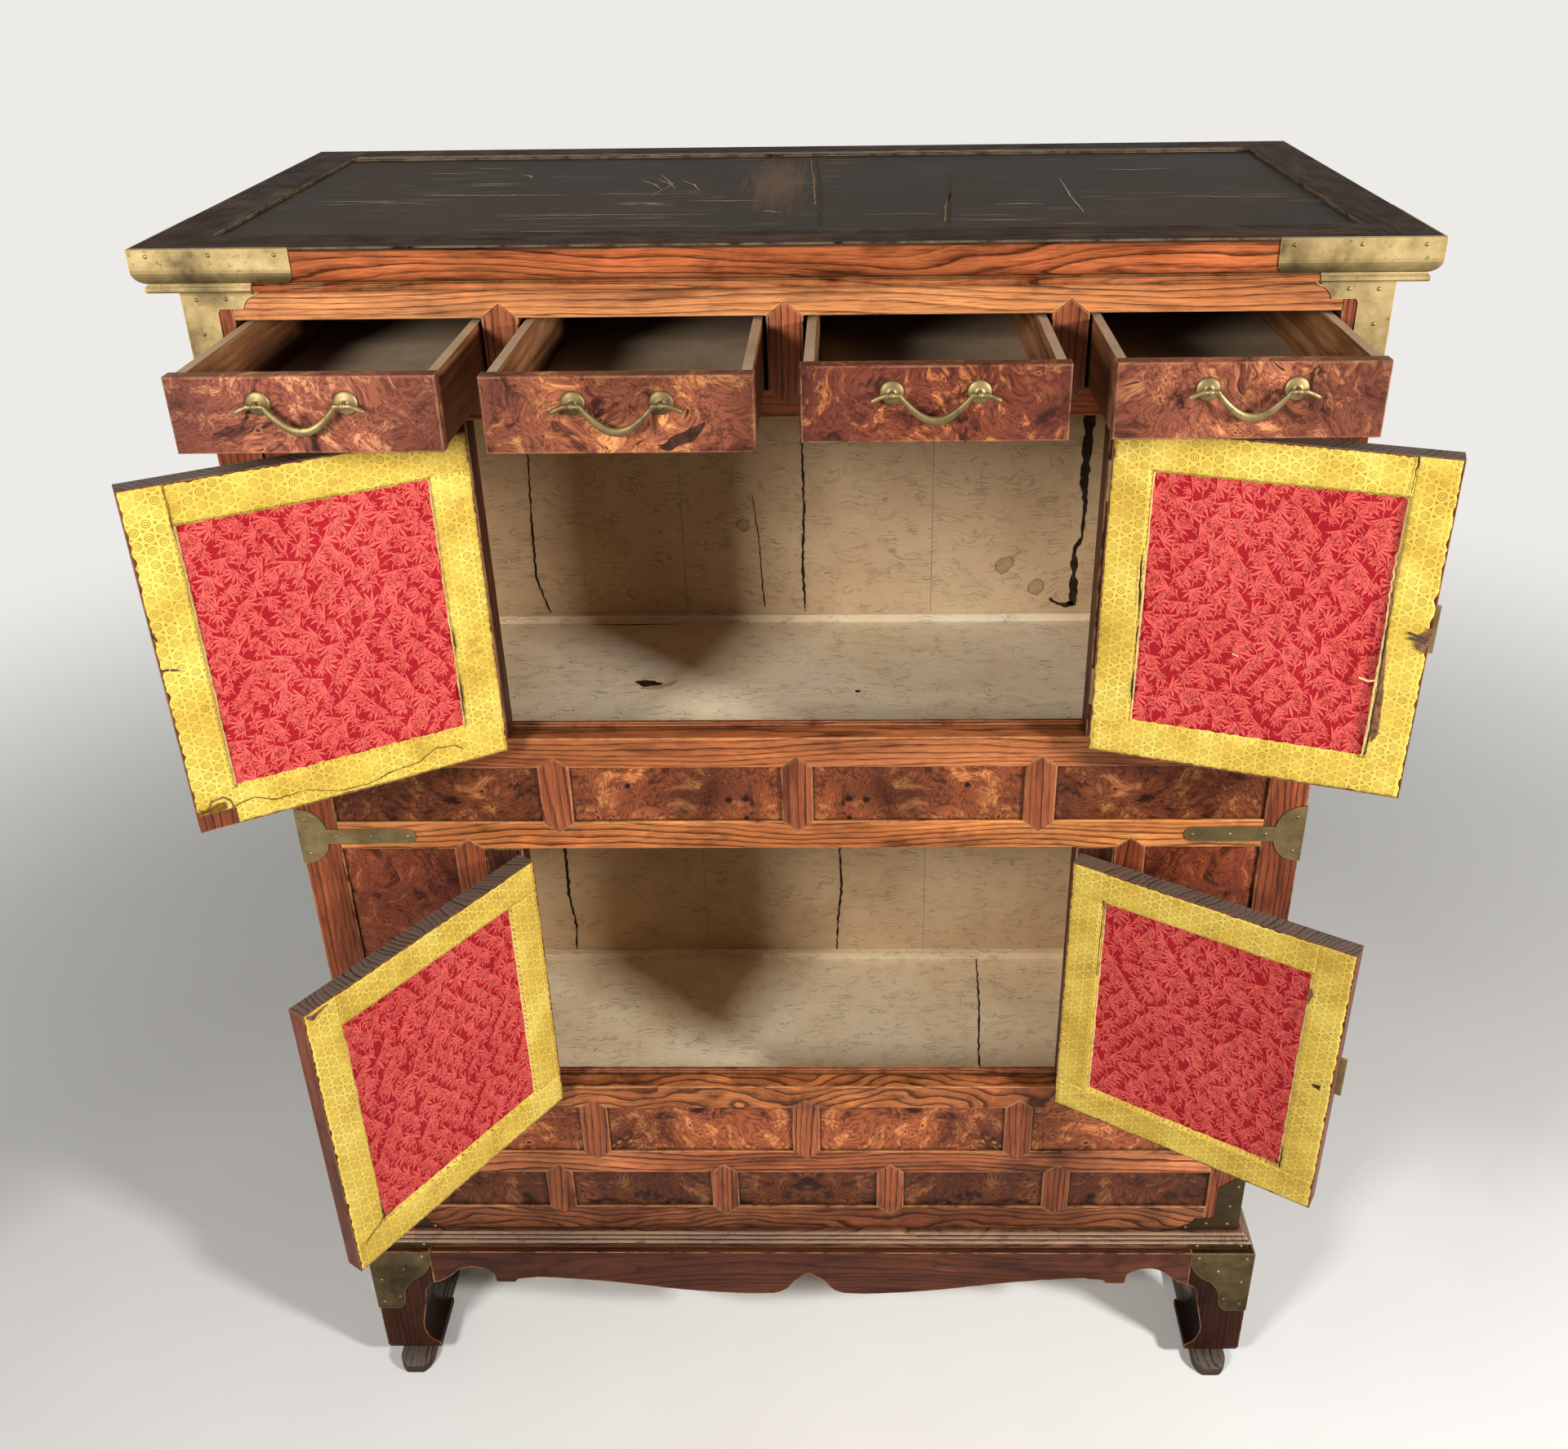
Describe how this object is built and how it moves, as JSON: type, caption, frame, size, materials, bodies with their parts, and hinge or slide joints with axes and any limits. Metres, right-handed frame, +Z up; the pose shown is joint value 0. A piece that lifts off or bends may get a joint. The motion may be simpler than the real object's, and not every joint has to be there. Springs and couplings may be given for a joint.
{
  "type": "burl cabinet",
  "caption": "Floor-standing two-level burl chest on a scrolled stand with runners, with pull-out drawers under a moulded top, hinged door pairs, lined insides and brass corner plates.",
  "frame": {"origin": "on the floor under the middle of the carcass, halfway between its front and back faces", "axes": "+X to the right seen from the front, +Y from the front to the back, +Z up"},
  "size_m": [0.9706, 0.6495, 1.218],
  "materials": {
    "frame_wood": "worn oil and wax",
    "burl": "worn oil and wax over burl",
    "dark_top": "dark worn lacquer",
    "inner_wood": "unfinished softwood, papered inside",
    "brass": "aged, dull"
  },
  "bodies": {
    "carcass": {"top_panel": "dark_top", "top_rail": "frame_wood", "drawer_rail": "frame_wood", "upper_sill_rail": "frame_wood", "lower_head_rail": "frame_wood", "lower_sill_rail": "frame_wood", "row_rail": "frame_wood", "bottom_rail": "frame_wood", "front_muntins": "frame_wood", "flank_muntins": "frame_wood", "door_posts": "frame_wood", "corner_posts": "frame_wood", "side_rails": "frame_wood", "cornice": "frame_wood", "base_moulding": "frame_wood", "front_apron": "frame_wood", "side_aprons": "frame_wood", "legs": "frame_wood", "runners": "frame_wood", "door_stops": "frame_wood", "burl_panels": "burl", "flank_panels": "burl", "side_panels": "inner_wood", "back_boards": "inner_wood", "compartment_floors": "inner_wood", "back_ledges": "inner_wood", "drawer_deck": "inner_wood", "drawer_guides": "inner_wood", "cornice_plates": "brass", "frame_plates": "brass", "leg_plates": "brass", "hinge_frame_leaves": "brass"},
    "drawer_1": {"drawer_1_front": "burl", "drawer_1_box": "inner_wood", "drawer_1_pull_posts": "brass"},
    "drawer_1_handle": {"drawer_1_bail": "brass"},
    "drawer_2": {"drawer_2_front": "burl", "drawer_2_box": "inner_wood", "drawer_2_pull_posts": "brass"},
    "drawer_2_handle": {"drawer_2_bail": "brass"},
    "drawer_3": {"drawer_3_front": "burl", "drawer_3_box": "inner_wood", "drawer_3_pull_posts": "brass"},
    "drawer_3_handle": {"drawer_3_bail": "brass"},
    "drawer_4": {"drawer_4_front": "burl", "drawer_4_box": "inner_wood", "drawer_4_pull_posts": "brass"},
    "drawer_4_handle": {"drawer_4_bail": "brass"},
    "upper_left_door": {"upper_left_door_frame": "frame_wood", "upper_left_door_panel": "burl", "upper_left_door_fittings": "brass"},
    "upper_right_door": {"upper_right_door_frame": "frame_wood", "upper_right_door_panel": "burl", "upper_right_door_fittings": "brass"},
    "lower_left_door": {"lower_left_door_frame": "frame_wood", "lower_left_door_panel": "burl", "lower_left_door_fittings": "brass"},
    "lower_right_door": {"lower_right_door_frame": "frame_wood", "lower_right_door_panel": "burl", "lower_right_door_fittings": "brass"}
  },
  "joints": [
    {"name": "drawer_1_slide", "type": "slide", "parent": "carcass", "child": "drawer_1", "axis": [0, -1, 0], "range_m": [-0.138, 0.122]},
    {"name": "drawer_1_handle_swing", "type": "hinge", "parent": "drawer_1", "child": "drawer_1_handle", "pos_m": [-0.321, -0.356, 1.1396], "axis": [-1, 0, 0], "range_deg": [0, 85]},
    {"name": "drawer_2_slide", "type": "slide", "parent": "carcass", "child": "drawer_2", "axis": [0, -1, 0], "range_m": [-0.143, 0.117]},
    {"name": "drawer_2_handle_swing", "type": "hinge", "parent": "drawer_2", "child": "drawer_2_handle", "pos_m": [-0.107, -0.361, 1.1396], "axis": [-1, 0, 0], "range_deg": [0, 85]},
    {"name": "drawer_3_slide", "type": "slide", "parent": "carcass", "child": "drawer_3", "axis": [0, -1, 0], "range_m": [-0.125, 0.135]},
    {"name": "drawer_3_handle_swing", "type": "hinge", "parent": "drawer_3", "child": "drawer_3_handle", "pos_m": [0.107, -0.343, 1.1396], "axis": [-1, 0, 0], "range_deg": [0, 85]},
    {"name": "drawer_4_slide", "type": "slide", "parent": "carcass", "child": "drawer_4", "axis": [0, -1, 0], "range_m": [-0.123, 0.137]},
    {"name": "drawer_4_handle_swing", "type": "hinge", "parent": "drawer_4", "child": "drawer_4_handle", "pos_m": [0.321, -0.341, 1.1396], "axis": [-1, 0, 0], "range_deg": [0, 85]},
    {"name": "upper_left_door_hinge", "type": "hinge", "parent": "carcass", "child": "upper_left_door", "pos_m": [-0.252, -0.2126, 0.9365], "axis": [0, 0, 1], "range_deg": [-17.6, 150.4]},
    {"name": "upper_right_door_hinge", "type": "hinge", "parent": "carcass", "child": "upper_right_door", "pos_m": [0.252, -0.2126, 0.9365], "axis": [0, 0, 1], "range_deg": [-161.7, 6.3]},
    {"name": "lower_left_door_hinge", "type": "hinge", "parent": "carcass", "child": "lower_left_door", "pos_m": [-0.252, -0.2126, 0.533], "axis": [0, 0, 1], "range_deg": [-43.8, 124.2]},
    {"name": "lower_right_door_hinge", "type": "hinge", "parent": "carcass", "child": "lower_right_door", "pos_m": [0.252, -0.2126, 0.533], "axis": [0, 0, 1], "range_deg": [-148.4, 19.6]}
  ]
}
